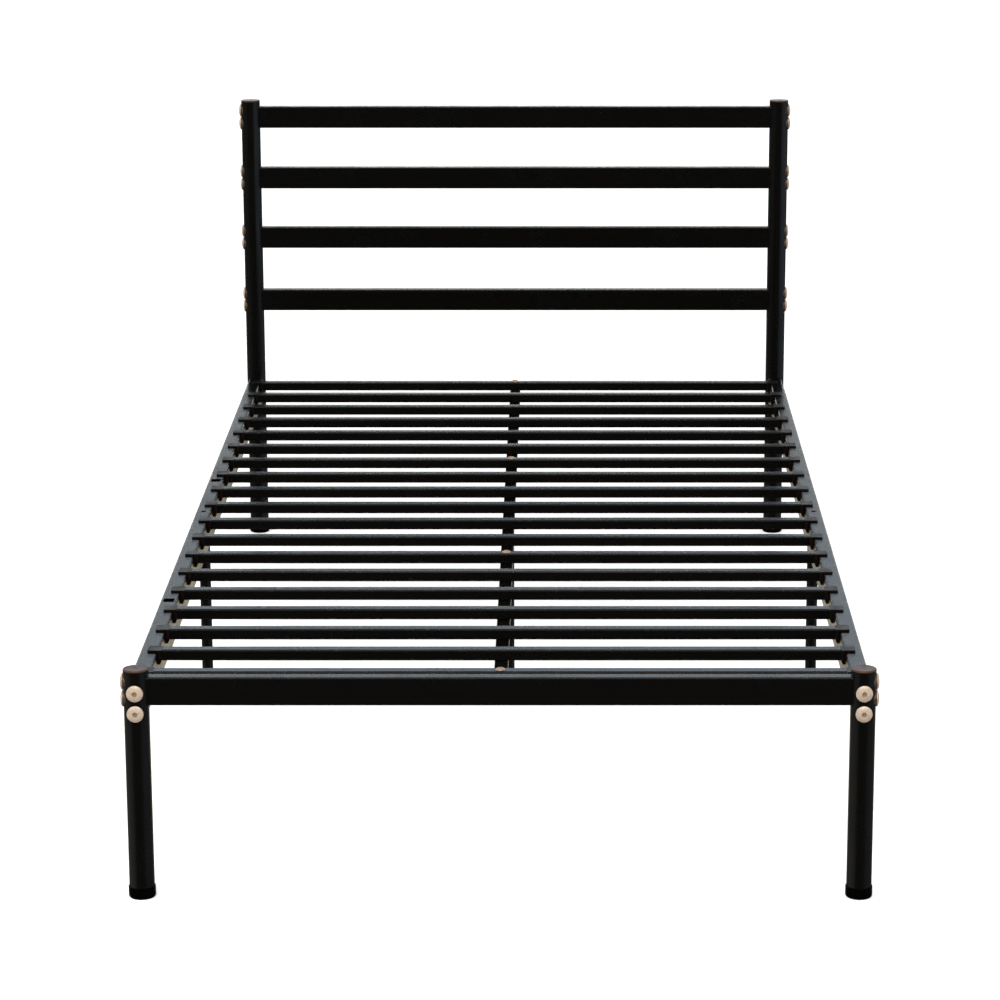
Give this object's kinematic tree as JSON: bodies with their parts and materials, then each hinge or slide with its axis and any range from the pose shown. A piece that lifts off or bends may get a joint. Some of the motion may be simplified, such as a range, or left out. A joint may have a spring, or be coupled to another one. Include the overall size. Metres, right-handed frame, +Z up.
{
  "type": "metal bed frame",
  "caption": "Twin bed frame of black painted steel tube: round posts, slatted base on side rails and a centre rail, thin middle legs, barred headboard.",
  "frame": {"origin": "on the floor, under the middle of the bed's footprint", "axes": "+X to the bed's right seen from the foot end, +Y from the foot end to the headboard, +Z up"},
  "size_m": [1.0328, 1.9978, 0.8355],
  "materials": {
    "frame_paint": "black paint, satin gloss",
    "cap_plastic": "brown-grey moulded, satin",
    "foot_plastic": "black moulded, satin",
    "holder_plastic": "dark brown moulded, satin",
    "nickel_bolts": "warm nickel plate, polished",
    "nickel_washers": "warm nickel plate, satin",
    "zinc_hardware": "zinc plate, satin"
  },
  "bodies": {
    "root": {"centre_rail": "frame_paint", "centre_rail_end_caps": "foot_plastic", "foot_end_rail": "frame_paint", "foot_post_cap_left": "cap_plastic", "foot_post_cap_right": "cap_plastic", "foot_post_foot_pad_left": "foot_plastic", "foot_post_foot_pad_right": "foot_plastic", "foot_post_left": "frame_paint", "foot_post_right": "frame_paint", "foot_rail_bolts": "nickel_bolts", "foot_rail_nut_plates": "zinc_hardware", "head_post_cap_left": "cap_plastic", "head_post_cap_right": "cap_plastic", "head_post_foot_pad_left": "foot_plastic", "head_post_foot_pad_right": "foot_plastic", "head_post_left": "frame_paint", "head_post_right": "frame_paint", "headboard_bar_bottom": "frame_paint", "headboard_bar_lower": "frame_paint", "headboard_bar_top": "frame_paint", "headboard_bar_upper": "frame_paint", "headboard_bolts": "nickel_bolts", "headboard_nut_plates": "zinc_hardware", "mid_leg_centre": "frame_paint", "mid_leg_foot_pad_centre": "foot_plastic", "mid_leg_foot_pad_left": "foot_plastic", "mid_leg_foot_pad_right": "foot_plastic", "mid_leg_inserts": "zinc_hardware", "mid_leg_left": "frame_paint", "mid_leg_right": "frame_paint", "mid_leg_screws": "zinc_hardware", "saddle_washers": "nickel_washers", "side_rail_foot_bolts": "nickel_bolts", "side_rail_head_bolts": "nickel_bolts", "side_rail_left": "frame_paint", "side_rail_nut_plates": "zinc_hardware", "side_rail_right": "frame_paint", "slat_01": "frame_paint", "slat_02": "frame_paint", "slat_03": "frame_paint", "slat_04": "frame_paint", "slat_05": "frame_paint", "slat_06": "frame_paint", "slat_07": "frame_paint", "slat_08": "frame_paint", "slat_09": "frame_paint", "slat_10": "frame_paint", "slat_11": "frame_paint", "slat_12": "frame_paint", "slat_13": "frame_paint", "slat_14": "frame_paint", "slat_15": "frame_paint", "slat_16": "frame_paint", "slat_17": "frame_paint", "slat_18": "frame_paint", "slat_19": "frame_paint", "slat_bolt_nuts": "zinc_hardware", "slat_bolts": "nickel_bolts", "slat_holders_left": "holder_plastic", "slat_holders_right": "holder_plastic"}
  },
  "joints": []
}
